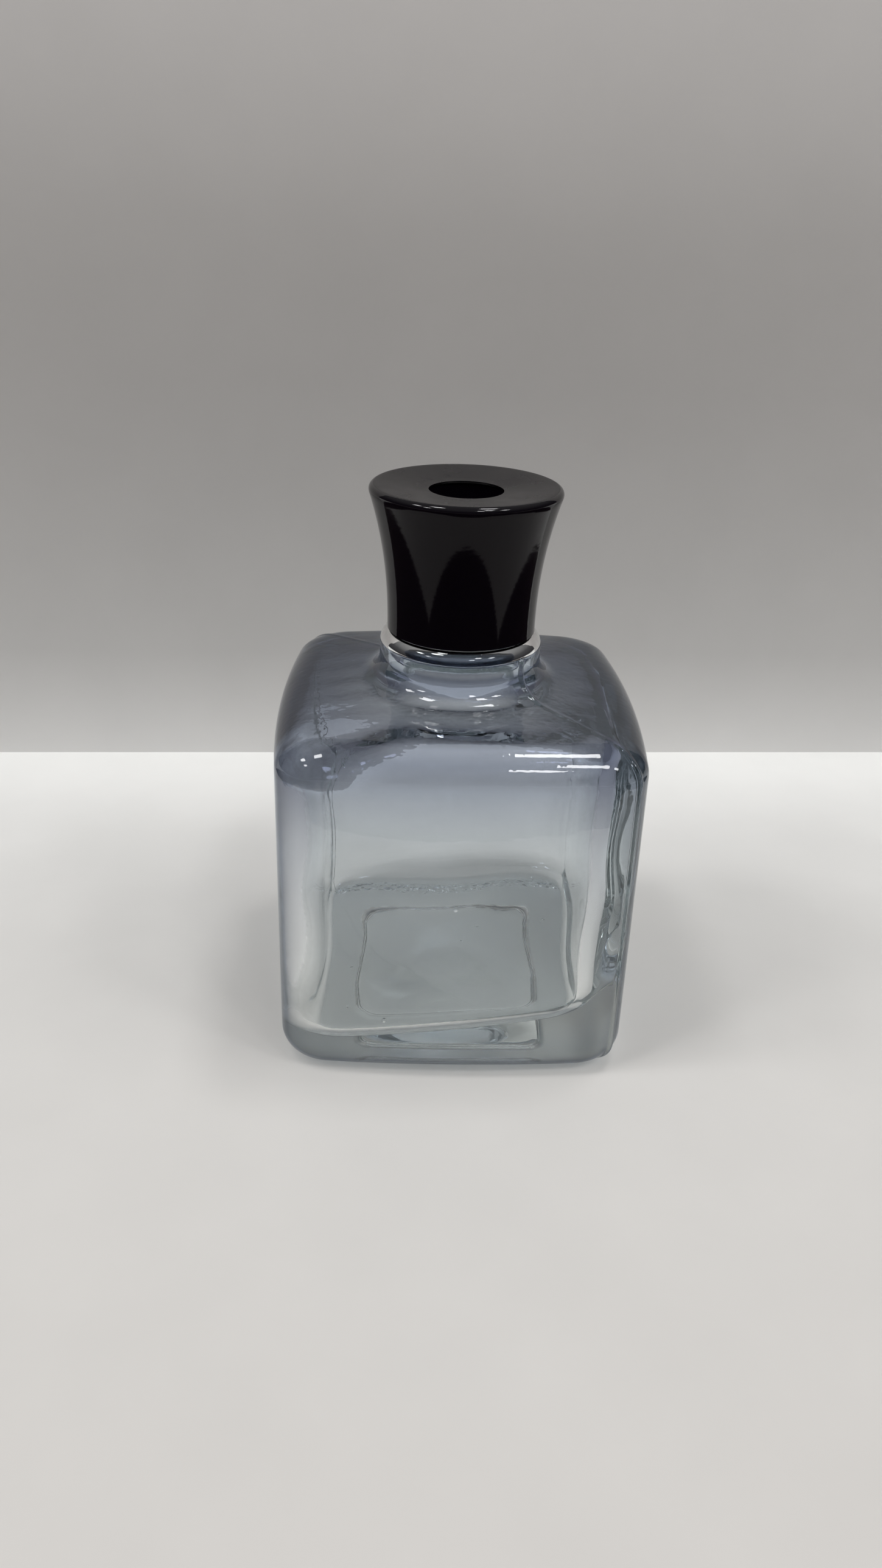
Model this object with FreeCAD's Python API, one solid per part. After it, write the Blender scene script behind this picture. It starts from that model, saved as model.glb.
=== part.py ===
import FreeCAD, Part
import math
import os

# Square glass bottle with a flared collar screwed on its neck.
# Millimetres, +Z up, origin at the middle of the base, front face towards -Y.

# Glass body, outside
BODY_WIDTH = 60.0
BODY_DEPTH = 60.0
FACE_CROWN_RADIUS = 204.0
CORNER_RADIUS = 7.2
BASE_EDGE_RADIUS = 5.7
SHOULDER_Z = 53.5
SHOULDER_RADIUS = 5.8
SHOULDER_SLOPE = math.radians(9.0)

# Glass body, inside: the blown cavity lies off centre and its floor is thicker to the right
SIDE_WALL = 4.0
CAVITY_SHIFT = -1.2
CAVITY_CORNER_RADIUS = 8.5
CAVITY_SHOULDER_RADIUS = 4.0
SHOULDER_WALL = 3.6
FLOOR_THICKNESS = 7.0
FLOOR_TILT = math.radians(7.5)
FLOOR_EDGE_RADIUS = 4.5
FLOOR_CROWN = 3.5
CROWN_MARGIN = 1.0
CROWN_SINK = 0.05
THROAT_RADIUS = 4.0
NECK_INNER_RADIUS = 9.2
NECK_INNER_TOP_Z = 64.0
BORE_FOOT_Z = 69.5

# Recessed square panel under the base
BEARING_WIDTH = 9.3
PANEL_DEPTH = 0.5
PANEL_CORNER_RADIUS = 3.0

# Neck ring and threaded finish
RING_TOP_Z = 69.0
RING_LEDGE = 1.15
RING_EDGE_RADIUS = 2.3
RING_ROOT_RADIUS = 4.2
FINISH_HEIGHT = 15.0
NECK_BORE_RADIUS = 4.7
NECK_WALL = 3.1
LIP_ROUND = 0.6
THREAD_PITCH = 3.175
THREAD_TURNS = 1.5
THREAD_HEIGHT = 1.05
THREAD_BASE_WIDTH = 2.0
THREAD_CREST_WIDTH = 1.0
THREAD_TOP_DROP = 2.6
THREAD_ROOT_SINK = 0.3

# Pour insert pressed in the neck
INSERT_FLANGE_OVERLAP = 1.2
INSERT_FLANGE_THICKNESS = 0.7
INSERT_LENGTH = 8.0
INSERT_WALL = 0.9
INSERT_CLEARANCE = 0.1
BEAD_COUNT = 3
BEAD_RADIUS = 0.4
BEAD_PRESS = 0.05
ORIFICE_RADIUS = 2.25

# Sealing ring on the glass lip
SEAL_THICKNESS = 1.2
SEAL_CLEARANCE = 0.3

# Threaded liner and flared collar
THREAD_CLEARANCE = 0.25
LINER_WALL = 1.25
LINER_FLANGE = 1.2
LINER_FOOT_SETBACK = 0.6
LINER_MOUTH_CLEARANCE = 0.25
COLLAR_FOOT_GAP = 0.15
COLLAR_FOOT_WALL = 1.7
COLLAR_TOP_WEB = 5.95
RIM_FLARE = 3.55
FLARE_POWER = 2.2
RIM_ROUND = 0.9
MOUTH_RADIUS = 5.9
MOUTH_ROUND = 0.5
DISH_DEPTH = 0.85

# Places worked out from the sizes above
FINISH_RADIUS = NECK_BORE_RADIUS + NECK_WALL
LIP_Z = RING_TOP_Z + FINISH_HEIGHT
CREST_RADIUS = FINISH_RADIUS + THREAD_HEIGHT
LINER_BORE_RADIUS = CREST_RADIUS + THREAD_CLEARANCE
SOCKET_RADIUS = LINER_BORE_RADIUS + LINER_WALL
COLLAR_FOOT_RADIUS = SOCKET_RADIUS + COLLAR_FOOT_WALL
RIM_RADIUS = COLLAR_FOOT_RADIUS + RIM_FLARE
RING_RADIUS = COLLAR_FOOT_RADIUS + RING_LEDGE
COLLAR_FOOT_Z = RING_TOP_Z + COLLAR_FOOT_GAP
SEAL_TOP_Z = LIP_Z + SEAL_THICKNESS
LINER_TOP_Z = SEAL_TOP_Z + LINER_FLANGE
COLLAR_TOP_Z = LINER_TOP_Z + COLLAR_TOP_WEB
MOUTH_EDGE_Z = COLLAR_TOP_Z - DISH_DEPTH
INSERT_FLANGE_RADIUS = NECK_BORE_RADIUS + INSERT_FLANGE_OVERLAP
THREAD_SPAN = THREAD_PITCH * THREAD_TURNS
THREAD_START_Z = LIP_Z - THREAD_TOP_DROP - THREAD_SPAN

UP = FreeCAD.Vector(0, 0, 1)
ORIGIN = FreeCAD.Vector(0, 0, 0)


class Outline:
    """A square plan with bowed faces and round corners, as a radius at each angle about its centre."""

    def __init__(self, half_x, half_y, crown, corner):
        self.crown = crown
        self.corner = corner
        self.side_centre = (half_x - crown, 0.0)
        self.front_centre = (0.0, half_y - crown)
        reach = crown - corner
        middle_x = self.side_centre[0] / 2
        middle_y = self.front_centre[1] / 2
        half_gap = math.hypot(middle_x, middle_y)
        height = math.sqrt(reach ** 2 - half_gap ** 2)
        self.corner_centre = (
            middle_x - height * middle_y / half_gap,
            middle_y - height * middle_x / half_gap,
        )
        self.first = self.tangent_angle(self.side_centre)
        self.second = self.tangent_angle(self.front_centre)

    def tangent_angle(self, centre):
        step_x = self.corner_centre[0] - centre[0]
        step_y = self.corner_centre[1] - centre[1]
        scale = self.crown / math.hypot(step_x, step_y)
        return math.atan2(centre[1] + step_y * scale, centre[0] + step_x * scale)

    def radius(self, angle):
        along_x = abs(math.cos(angle))
        along_y = abs(math.sin(angle))
        folded = math.atan2(along_y, along_x)
        centre, size = self.corner_centre, self.corner
        if folded < self.first:
            centre, size = self.side_centre, self.crown
        elif folded > self.second:
            centre, size = self.front_centre, self.crown
        reach = along_x * centre[0] + along_y * centre[1]
        return reach + math.sqrt(reach ** 2 - centre[0] ** 2 - centre[1] ** 2 + size ** 2)

    def breaks(self):
        quarter = [self.first, self.second]
        half = quarter + [math.pi - a for a in reversed(quarter)]
        return half + [math.pi + a for a in half]


def section(outline, z, inset=0.0, blend=0.0, circle=0.0, shift=0.0, tilt=0.0):
    """One closed wire of eight arcs: the outline drawn in by inset, or blended towards a circle."""
    def point(angle):
        reach = (outline.radius(angle) - inset) * (1 - blend) + circle * blend
        x = reach * math.cos(angle) + shift * (1 - blend)
        y = reach * math.sin(angle)
        return FreeCAD.Vector(x, y, z + x * math.tan(tilt))

    starts = outline.breaks()
    ends = starts[1:] + [starts[0] + 2 * math.pi]
    arcs = [Part.Arc(point(a), point((a + b) / 2), point(b)).toShape() for a, b in zip(starts, ends)]
    return Part.Wire(arcs)


def shoulder_profile(z, edge_radius, slope, run, root_radius):
    """Inset and height from the wall, round the edge, up the slope and into the root of the neck."""
    steps = 6
    points = []
    for i in range(steps + 1):
        turn = (math.pi / 2 - slope) * i / steps
        points.append((edge_radius * (1 - math.cos(turn)), z + edge_radius * math.sin(turn)))
    edge_inset, edge_z = points[-1]
    root_inset = run - root_radius
    root_start = root_inset + root_radius * math.sin(slope)
    root_z = edge_z + math.tan(slope) * (root_start - edge_inset) + root_radius * math.cos(slope)
    for i in range(1, 3):
        inset = edge_inset + (root_start - edge_inset) * i / 3
        points.append((inset, edge_z + math.tan(slope) * (inset - edge_inset)))
    for i in range(steps + 1):
        turn = (slope - math.pi / 2) * (1 - i / steps)
        points.append((root_inset + root_radius * math.cos(turn), root_z + root_radius * math.sin(turn)))
    return points


def shoulder_loft(outline, profile, run, circle, shift=0.0):
    wires = [section(outline, z, blend=inset / run, circle=circle, shift=shift) for inset, z in profile]
    return Part.makeLoft(wires, True, False)


def edge_loft(outline, z, radius, shift=0.0, tilt=0.0):
    """The rounded lower edge of a body, from its flat underside up to the wall."""
    steps = 6
    wires = []
    for i in range(steps + 1):
        turn = math.pi / 2 * i / steps
        inset = radius * (1 - math.sin(turn))
        height = z + radius * (1 - math.cos(turn))
        wires.append(section(outline, height, inset=inset, shift=shift, tilt=tilt))
    return Part.makeLoft(wires, True, False)


def revolved(points):
    """A solid turned from a half profile of straight runs, given as radius and height."""
    corners = [FreeCAD.Vector(r, 0, z) for r, z in points]
    return Part.Face(Part.makePolygon(corners + corners[:1])).revolve(ORIGIN, UP, 360)


def rounded(shape, radius, edge_radius, z):
    """The shape with its round edge of that radius and height filleted."""
    def is_wanted(edge):
        curve = edge.Curve
        if not isinstance(curve, Part.Circle):
            return False
        return abs(curve.Radius - edge_radius) < 1e-6 and abs(curve.Center.z - z) < 1e-6

    return shape.makeFillet(radius, [edge for edge in shape.Edges if is_wanted(edge)])


def helical_ridge(root, crest, base_width, crest_width, z):
    """A right-hand thread ridge of trapezoid section, from one radius to another."""
    helix = Part.makeHelix(THREAD_PITCH, THREAD_SPAN, root)
    helix.translate(UP * z)
    corners = [
        FreeCAD.Vector(root, 0, z - base_width / 2),
        FreeCAD.Vector(crest, 0, z - crest_width / 2),
        FreeCAD.Vector(crest, 0, z + crest_width / 2),
        FreeCAD.Vector(root, 0, z + base_width / 2),
    ]
    profile = Part.makePolygon(corners + corners[:1])
    return Part.Wire(helix.Edges).makePipeShell([profile], True, True)


def glass_bottle():
    outline = Outline(BODY_WIDTH / 2, BODY_DEPTH / 2, FACE_CROWN_RADIUS, CORNER_RADIUS)
    run = BODY_WIDTH / 2 - RING_RADIUS
    profile = shoulder_profile(SHOULDER_Z, SHOULDER_RADIUS, SHOULDER_SLOPE, run, RING_ROOT_RADIUS)
    wall = Part.makeLoft([section(outline, BASE_EDGE_RADIUS), section(outline, SHOULDER_Z)], True, True)
    ring_base_z = profile[-1][1]
    ring = revolved([(0, ring_base_z), (RING_RADIUS, ring_base_z), (RING_RADIUS, RING_TOP_Z), (0, RING_TOP_Z)])
    ring = rounded(ring, RING_EDGE_RADIUS, RING_RADIUS, RING_TOP_Z)
    finish = revolved([(0, RING_TOP_Z), (FINISH_RADIUS, RING_TOP_Z), (FINISH_RADIUS, LIP_Z), (0, LIP_Z)])
    finish = rounded(finish, LIP_ROUND, FINISH_RADIUS, LIP_Z)
    glass = edge_loft(outline, 0, BASE_EDGE_RADIUS).fuse([
        wall, shoulder_loft(outline, profile, run, RING_RADIUS), ring, finish, glass_thread()])
    glass = glass.cut(base_panel())
    return glass.cut(cavity(profile)).removeSplitter()


def glass_thread():
    flank = (THREAD_BASE_WIDTH - THREAD_CREST_WIDTH) / THREAD_HEIGHT
    sunk_width = THREAD_BASE_WIDTH + flank * THREAD_ROOT_SINK
    return helical_ridge(
        FINISH_RADIUS - THREAD_ROOT_SINK, CREST_RADIUS, sunk_width, THREAD_CREST_WIDTH, THREAD_START_Z)


def base_panel():
    half_x = BODY_WIDTH / 2 - BASE_EDGE_RADIUS - BEARING_WIDTH
    half_y = BODY_DEPTH / 2 - BASE_EDGE_RADIUS - BEARING_WIDTH
    corner = FreeCAD.Vector(-half_x, -half_y, 0)
    panel = Part.makeBox(2 * half_x, 2 * half_y, PANEL_DEPTH, corner)
    uprights = [e for e in panel.Edges if abs(e.Vertexes[0].Z - e.Vertexes[-1].Z) > PANEL_DEPTH / 2]
    return panel.makeFillet(PANEL_CORNER_RADIUS, uprights)


def cavity(outer_profile):
    """The space inside the glass, from its tilted floor to the lip."""
    half_x = BODY_WIDTH / 2 - SIDE_WALL
    half_y = BODY_DEPTH / 2 - SIDE_WALL
    outline = Outline(half_x, half_y, FACE_CROWN_RADIUS, CAVITY_CORNER_RADIUS)
    run = half_x - NECK_INNER_RADIUS
    floor = edge_loft(outline, FLOOR_THICKNESS, FLOOR_EDGE_RADIUS, CAVITY_SHIFT, FLOOR_TILT)

    # The inner slope runs parallel to the outer one, one shoulder wall below it
    outer_inset = SHOULDER_RADIUS * (1 - math.sin(SHOULDER_SLOPE))
    outer_z = SHOULDER_Z + SHOULDER_RADIUS * math.cos(SHOULDER_SLOPE)
    inner_inset = SIDE_WALL + CAVITY_SHOULDER_RADIUS * (1 - math.sin(SHOULDER_SLOPE))
    slope_z = outer_z + math.tan(SHOULDER_SLOPE) * (inner_inset - outer_inset)
    edge_z = slope_z - SHOULDER_WALL / math.cos(SHOULDER_SLOPE)
    start_z = edge_z - CAVITY_SHOULDER_RADIUS * math.cos(SHOULDER_SLOPE)

    profile = shoulder_profile(start_z, CAVITY_SHOULDER_RADIUS, SHOULDER_SLOPE, run, THROAT_RADIUS)
    low = section(outline, FLOOR_THICKNESS + FLOOR_EDGE_RADIUS, shift=CAVITY_SHIFT, tilt=FLOOR_TILT)
    high = section(outline, start_z, shift=CAVITY_SHIFT)
    walls = Part.makeLoft([low, high], True, True)
    dome = shoulder_loft(outline, profile, run, NECK_INNER_RADIUS, CAVITY_SHIFT)
    neck = revolved([
        (0, profile[-1][1]),
        (NECK_INNER_RADIUS, profile[-1][1]),
        (NECK_INNER_RADIUS, NECK_INNER_TOP_Z),
        (NECK_BORE_RADIUS, BORE_FOOT_Z),
        (NECK_BORE_RADIUS, LIP_Z),
        (0, LIP_Z),
    ])
    return floor.fuse([walls, dome, neck]).cut(floor_hump())


def floor_hump():
    """The low rounded hump in the middle of the tilted inner floor."""
    reach = BODY_WIDTH / 2 - SIDE_WALL - FLOOR_EDGE_RADIUS - CROWN_MARGIN
    steps = 8
    rise = []
    for i in range(steps + 1):
        share = i / steps
        rise.append(FreeCAD.Vector(reach * share, 0, FLOOR_CROWN * (1 - share ** 2) ** 2 - CROWN_SINK))
    curve = Part.BSplineCurve()
    curve.interpolate(rise)
    foot = -FLOOR_CROWN
    corners = [rise[-1], FreeCAD.Vector(reach, 0, foot), FreeCAD.Vector(0, 0, foot), rise[0]]
    edges = [curve.toShape()]
    edges += [Part.makeLine(a, b) for a, b in zip(corners, corners[1:])]
    hump = Part.Face(Part.Wire(Part.__sortEdges__(edges))).revolve(ORIGIN, UP, 360)
    hump.rotate(ORIGIN, FreeCAD.Vector(0, -1, 0), math.degrees(FLOOR_TILT))
    hump.translate(FreeCAD.Vector(CAVITY_SHIFT, 0, FLOOR_THICKNESS + CAVITY_SHIFT * math.tan(FLOOR_TILT)))
    return hump


def pour_insert():
    plug_radius = NECK_BORE_RADIUS - INSERT_CLEARANCE
    inner_radius = plug_radius - INSERT_WALL
    foot_z = LIP_Z - INSERT_LENGTH
    top_z = LIP_Z + INSERT_FLANGE_THICKNESS
    insert = revolved([
        (ORIFICE_RADIUS, foot_z),
        (plug_radius, foot_z),
        (plug_radius, LIP_Z),
        (INSERT_FLANGE_RADIUS, LIP_Z),
        (INSERT_FLANGE_RADIUS, top_z),
        (inner_radius, top_z),
        (inner_radius, foot_z + INSERT_WALL),
        (ORIFICE_RADIUS, foot_z + INSERT_WALL),
    ])
    spacing = INSERT_LENGTH / (BEAD_COUNT + 1)
    ring_radius = NECK_BORE_RADIUS + BEAD_PRESS - BEAD_RADIUS
    for i in range(BEAD_COUNT):
        centre = FreeCAD.Vector(0, 0, foot_z + spacing * (i + 1))
        insert = insert.fuse(Part.makeTorus(ring_radius, BEAD_RADIUS, centre))
    return insert


def sealing_ring():
    inner = INSERT_FLANGE_RADIUS + SEAL_CLEARANCE
    outer = FINISH_RADIUS - SEAL_CLEARANCE
    return revolved([(inner, LIP_Z), (outer, LIP_Z), (outer, SEAL_TOP_Z), (inner, SEAL_TOP_Z)])


def threaded_liner():
    foot_z = COLLAR_FOOT_Z + LINER_FOOT_SETBACK
    mouth = MOUTH_RADIUS + LINER_MOUTH_CLEARANCE
    liner = revolved([
        (LINER_BORE_RADIUS, foot_z),
        (SOCKET_RADIUS, foot_z),
        (SOCKET_RADIUS, LINER_TOP_Z),
        (mouth, LINER_TOP_Z),
        (mouth, SEAL_TOP_Z),
        (LINER_BORE_RADIUS, SEAL_TOP_Z),
    ])
    crest = FINISH_RADIUS + THREAD_CLEARANCE
    flank = (THREAD_BASE_WIDTH - THREAD_CREST_WIDTH) / THREAD_HEIGHT
    glass_width_at_crest = THREAD_BASE_WIDTH - flank * THREAD_CLEARANCE
    crest_width = THREAD_PITCH - glass_width_at_crest - 2 * THREAD_CLEARANCE
    root = LINER_BORE_RADIUS + THREAD_ROOT_SINK
    root_width = crest_width + flank * (root - crest)
    ridge = helical_ridge(root, crest, root_width, crest_width, THREAD_START_Z - THREAD_PITCH / 2)
    return liner.fuse(ridge)


def collar_shell():
    """The flare follows a power curve from its waist at the foot to the wide rim; the top is dished to the mouth."""
    height = COLLAR_TOP_Z - COLLAR_FOOT_Z
    steps = 8
    flare = []
    for i in range(steps + 1):
        share = i / steps
        radius = COLLAR_FOOT_RADIUS + RIM_FLARE * share ** FLARE_POWER
        flare.append(FreeCAD.Vector(radius, 0, COLLAR_FOOT_Z + height * share))
    curve = Part.BSplineCurve()
    curve.interpolate(flare)
    corners = [
        FreeCAD.Vector(RIM_RADIUS, 0, COLLAR_TOP_Z),
        FreeCAD.Vector(MOUTH_RADIUS, 0, MOUTH_EDGE_Z),
        FreeCAD.Vector(MOUTH_RADIUS, 0, LINER_TOP_Z),
        FreeCAD.Vector(SOCKET_RADIUS, 0, LINER_TOP_Z),
        FreeCAD.Vector(SOCKET_RADIUS, 0, COLLAR_FOOT_Z),
        FreeCAD.Vector(COLLAR_FOOT_RADIUS, 0, COLLAR_FOOT_Z),
    ]
    edges = [curve.toShape()]
    edges += [Part.makeLine(a, b) for a, b in zip(corners, corners[1:])]
    shell = Part.Face(Part.Wire(Part.__sortEdges__(edges))).revolve(ORIGIN, UP, 360)
    shell = rounded(shell, MOUTH_ROUND, MOUTH_RADIUS, MOUTH_EDGE_Z)
    return rounded(shell, RIM_ROUND, RIM_RADIUS, COLLAR_TOP_Z)


def main():
    os.makedirs("parts", exist_ok=True)
    pieces = {
        "glass_bottle": glass_bottle(),
        "pour_insert": pour_insert(),
        "sealing_ring": sealing_ring(),
        "threaded_liner": threaded_liner(),
        "collar_shell": collar_shell(),
    }
    for name, shape in pieces.items():
        shape.exportStep(f"parts/{name}.step")
        print(name, len(shape.Solids), "solid", shape.isValid(), round(shape.Volume, 1), "mm3")


main()
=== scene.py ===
import math

import bpy
import numpy as np
from mathutils import Matrix, Vector


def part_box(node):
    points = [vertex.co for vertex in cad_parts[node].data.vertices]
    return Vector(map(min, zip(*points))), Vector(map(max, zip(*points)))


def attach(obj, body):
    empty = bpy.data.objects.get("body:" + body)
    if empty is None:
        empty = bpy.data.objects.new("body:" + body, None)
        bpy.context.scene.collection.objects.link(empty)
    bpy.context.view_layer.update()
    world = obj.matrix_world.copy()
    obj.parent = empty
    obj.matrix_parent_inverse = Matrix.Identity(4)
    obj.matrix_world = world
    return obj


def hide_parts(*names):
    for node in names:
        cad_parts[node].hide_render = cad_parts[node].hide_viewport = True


# Looks of a square glass bottle with a flared black collar. Metres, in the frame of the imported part.

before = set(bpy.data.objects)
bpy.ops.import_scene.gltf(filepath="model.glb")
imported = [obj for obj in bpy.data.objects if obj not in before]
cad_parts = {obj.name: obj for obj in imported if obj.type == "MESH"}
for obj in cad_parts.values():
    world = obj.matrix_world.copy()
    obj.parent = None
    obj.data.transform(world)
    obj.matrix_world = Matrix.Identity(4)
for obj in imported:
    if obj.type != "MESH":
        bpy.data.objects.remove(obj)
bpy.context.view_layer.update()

MM = 0.001
WHITE = (1.0, 1.0, 1.0)
BLACK = (0.0, 0.0, 0.0)

# Sizes of the glass outside, as the part has them
HALF_WIDTH = 30.0 * MM
FACE_CROWN_RADIUS = 204.0 * MM
CORNER_RADIUS = 7.2 * MM
BASE_EDGE_RADIUS = 5.7 * MM
SHOULDER_Z = 53.5 * MM
SHOULDER_RADIUS = 5.8 * MM
SHOULDER_SLOPE = math.radians(9.0)
RING_RADIUS = 13.2 * MM
RING_TOP_Z = 69.0 * MM
RING_EDGE_RADIUS = 2.3 * MM
RING_ROOT_RADIUS = 4.2 * MM

# Sizes of the glass inside and under the base
SIDE_WALL = 4.0 * MM
CAVITY_SHIFT = -1.2 * MM
CAVITY_CORNER_RADIUS = 8.5 * MM
CAVITY_SHOULDER_RADIUS = 4.0 * MM
SHOULDER_WALL = 3.6 * MM
FLOOR_THICKNESS = 7.0 * MM
FLOOR_TILT = math.radians(7.5)
FLOOR_EDGE_RADIUS = 4.5 * MM
FLOOR_CROWN = 3.5 * MM
THROAT_RADIUS = 4.0 * MM
NECK_INNER_RADIUS = 9.2 * MM
NECK_INNER_TOP_Z = 64.0 * MM
BORE_FOOT_Z = 69.5 * MM
PANEL_HALF = 15.0 * MM
PANEL_CROWN_RADIUS = 2.0
PANEL_DEPTH = 0.5 * MM
PANEL_CORNER_RADIUS = 3.0 * MM
PANEL_STEP = 0.4 * MM

# Sizes of the threaded neck
NECK_BORE_RADIUS = 4.7 * MM
FINISH_RADIUS = 7.8 * MM
FINISH_ROOT = 0.1 * MM
FINISH_APRON = 2.0 * MM
LIP_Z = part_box("glass_bottle")[1].z
LIP_ROUND = 0.6 * MM
BORE_ROUND = 0.4 * LIP_ROUND
THREAD_PITCH = 3.175 * MM
THREAD_TURNS = 1.5
THREAD_HEIGHT = 1.05 * MM
THREAD_BASE_WIDTH = 2.0 * MM
THREAD_CREST_WIDTH = 1.0 * MM
THREAD_LIP_GAP = 2.6 * MM
THREAD_START_Z = LIP_Z - THREAD_LIP_GAP - THREAD_PITCH * THREAD_TURNS

# How finely the glass is divided
FACE_STEPS = 36
CORNER_STEPS = 32
PANEL_SHARES = (0.02, 0.2, 0.4, 0.6, 0.8, 0.9)
SMALL_ROUND_STEPS = 5
BEARING_RINGS = 9
BASE_ROUND_STEPS = 12
WALL_STEPS = 24
SHOULDER_ROUND_STEPS = 14
SLOPE_STEPS = 8
RING_ROUND_STEPS = 8
NECK_STEPS = 44
BORE_STEPS = 8
FUNNEL_STEPS = 12
CAVITY_WALL_STEPS = 28
FLOOR_ROUND_STEPS = 14
FLOOR_STEPS = 20

# Traces of the mould: the seam on two opposite corners
SEAM_ANGLES = (-math.pi / 4, 3 * math.pi / 4)
SEAM_HEIGHT = 0.5 * MM
SEAM_WIDTH = 0.42 * MM

# Traces of the blowing inside: waves of the wall, strongest in the corners, with swings of their phase
WALL_WAVE = 0.26 * MM
WALL_WAVE_LENGTH = 21.0 * MM
WALL_WAVE_SWINGS = (3.0, 2.0)
WALL_FACE_SHARE = 0.25
WALL_CORNER_POWER = 3
WALL_SLOW_SHARE = 0.5
WALL_SLOW_LENGTH = 3.1 * WALL_WAVE_LENGTH
WALL_SLOW_LOBES = 5
WALL_SLOW_PHASE = 1.0

# Waves under the shoulder and on the floor, with the length of one radian of each wave
DOME_WAVE = 0.11 * MM
DOME_WAVE_RADIAN = 1.05 * MM
DOME_BEND = 0.4
DOME_BEND_RADIAN = 5.0 * MM
DOME_FADE_RADIAN = 14.0 * MM
DOME_FADE_PHASE = 0.3
FLOOR_WAVE = 0.12 * MM
FLOOR_WAVE_RADIANS = (7.0 * MM, 9.0 * MM)
FLOOR_WAVE_PHASES = (1.3, -0.6)

# Uneven ends of the cavity: the front of its shoulder sags and rises, and its floor climbs at the back
SHOULDER_WANDER = 1.6 * MM
SHOULDER_WANDER_X = -15.0 * MM
SHOULDER_WANDER_RUN = 5.0 * MM
FLOOR_RISE = 3.2 * MM
FLOOR_RISE_START = 8.0 * MM

# Sizes of the collar, and how finely it is divided
collar_low, collar_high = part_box("collar_shell")
COLLAR_FOOT_RADIUS = 12.05 * MM
RIM_FLARE = 3.55 * MM
FLARE_POWER = 2.2
RIM_ROUND = 0.9 * MM
RIM_Z = collar_high.z - RIM_ROUND
MOUTH_RADIUS = 5.9 * MM
MOUTH_ROUND = 0.5 * MM
DISH_DEPTH = 0.85 * MM
SOCKET_RADIUS = 10.35 * MM
SOCKET_TOP_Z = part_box("threaded_liner")[1].z
COLLAR_SEGMENTS = 192
FLARE_STEPS = 40
RIM_STEPS = 16
DISH_STEPS = 12
MOUTH_STEPS = 8
SHARP_ANGLE = math.radians(40.0)

# Upward part of a face's normal from which it counts as the collar's flat top
FLAT_TOP = 0.98

# Camera of the photograph: place, aim in radians and focal length in pixels of the whole picture
CAMERA_PLACE = Vector((-9.55, -190.70, 135.63)) * MM
CAMERA_PITCH = 0.4643
CAMERA_YAW = 0.0378
CAMERA_ROLL = 0.0354
CAMERA_CLIP = 0.01
FOCAL_PIXELS = 2011.8
PICTURE_HEIGHT = 2576
SENSOR = 36.0

# Pale sheet that the bottle stands on, with its tones from front to back: painted light that brightens it
# towards the backdrop
SHEET_LEFT = -0.139
SHEET_RIGHT = 0.157
SHEET_FRONT = -0.110
FLOOR_HALF = 2.5
FLOOR_Z = -0.05 * MM
FLOOR_PAINTED_LIGHT_TONES = (
    (0.0, (0.74, 0.715, 0.685)),
    (0.5, (0.77, 0.755, 0.73)),
    (0.85, (0.86, 0.855, 0.835)),
    (1.0, (0.93, 0.93, 0.91)),
)

# Backdrop behind the bottle, which leans back above a height, with its tones from the foot to the top:
# painted light, bright at the foot by the fold and darker higher up
BACKDROP_Y = 0.0985
BACKDROP_TURN = math.radians(2.6)
BACKDROP_HEIGHT = 0.23
BACKDROP_HALF_WIDTH = 0.17
BACKDROP_LEAN_Z = 0.12
BACKDROP_LEAN = 0.06
BACKDROP_STEPS = 24
BACKDROP_PAINTED_LIGHT_TONES = (
    (0.0, (0.78, 0.77, 0.76)),
    (0.12, (0.59, 0.58, 0.57)),
    (0.4, (0.49, 0.475, 0.465)),
    (1.0, (0.50, 0.48, 0.465)),
)

# Surface of the paper: grains a metre, and the range of its mottle
PAPER_ROUGHNESS = 0.8
PAPER_SPECULAR = 0.2
MOTTLE_SCALE = 45.0
MOTTLE_RANGE = (0.96, 1.04)

# Dark boards that shape the collar's reflections
FLAG_Z = 0.5 * MM
FLAG_REACH = 1.2
FLAG_COLOUR = (0.020, 0.012, 0.010, 1.0)
FLAG_ROUGHNESS = 0.6

# Ceiling lights: height, size and radiance, and their places as sideways steps for each metre of height
CEILING_HEIGHT = 1.5
PANEL_LIGHT_WIDTH = 0.24
PANEL_LIGHT_DEPTH = 0.28
PANEL_LIGHT_RADIANCE = 15.0
PANEL_LIGHTS = (
    (0.22, 0.08),
    (-0.35, -0.14),
    (0.37, -0.52),
    (-0.87, -0.59),
    (0.72, -0.49),
    (0.30, -0.95),
    (-0.80, -0.15),
)

# Soft lights on both sides, which are kept out of the reflections
SOFT_LIGHT_SIZE = 1.0
SOFT_LIGHT_PLACES = (Vector((-1.25, -0.45, 1.25)), Vector((1.25, -0.45, 1.25)))
SOFT_LIGHT_RADIANCE = 1.8

# Room behind the stage: its tones from the horizon up, and what shows straight on and through the glass
ROOM_TONES = (
    (0.0, (0.026, 0.025, 0.027)),
    (0.35, (0.055, 0.055, 0.057)),
    (0.8, (0.22, 0.22, 0.22)),
)
ROOM_PALE = (0.40, 0.40, 0.405, 1.0)

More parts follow.
